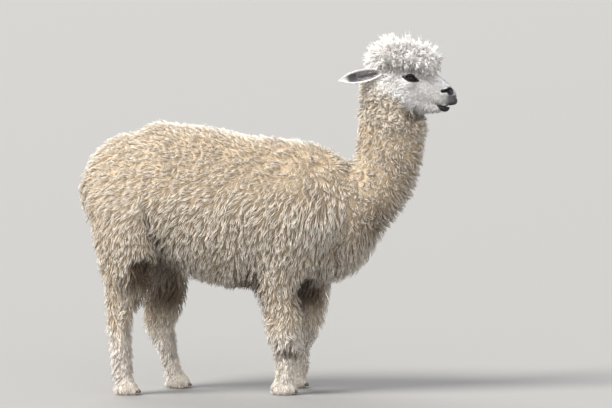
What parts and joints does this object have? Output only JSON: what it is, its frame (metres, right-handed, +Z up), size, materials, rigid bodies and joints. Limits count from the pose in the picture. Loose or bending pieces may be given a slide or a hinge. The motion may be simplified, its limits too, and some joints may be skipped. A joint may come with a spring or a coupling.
{
  "type": "alpaca",
  "caption": "Life-size standing huacaya alpaca in full cream fleece, with a woolly topknot, swept-back ears, a slender bare face and two-toed feet set in a short walking stance.",
  "frame": {"origin": "on the floor, at the middle of the bounding box's base, between the four feet", "axes": "+X towards the head end, +Y to the animal's left, +Z up"},
  "size_m": [1.4517, 0.481, 1.3619],
  "materials": {
    "fleece": "thick matt wool in crimped locks",
    "skin": "short matt hair over skin",
    "eye": "wet, glossy",
    "nail": "worn horn"
  },
  "bodies": {
    "root": {"trunk": "fleece", "neck": "fleece", "head": "skin", "jaw": "skin", "topknot": "fleece", "tail": "fleece", "ear_left": "skin", "eye_left": "eye", "ear_right": "skin", "eye_right": "eye", "hind_thigh_left": "fleece", "hind_shank_left": "fleece", "hind_foot_left": "fleece", "fore_arm_left": "fleece", "fore_cannon_left": "fleece", "fore_foot_left": "fleece", "hind_nail_outer_left": "nail", "hind_nail_inner_left": "nail", "fore_nail_outer_left": "nail", "fore_nail_inner_left": "nail", "hind_thigh_right": "fleece", "hind_shank_right": "fleece", "hind_foot_right": "fleece", "fore_arm_right": "fleece", "fore_cannon_right": "fleece", "fore_foot_right": "fleece", "hind_nail_outer_right": "nail", "hind_nail_inner_right": "nail", "fore_nail_outer_right": "nail", "fore_nail_inner_right": "nail"}
  },
  "joints": []
}
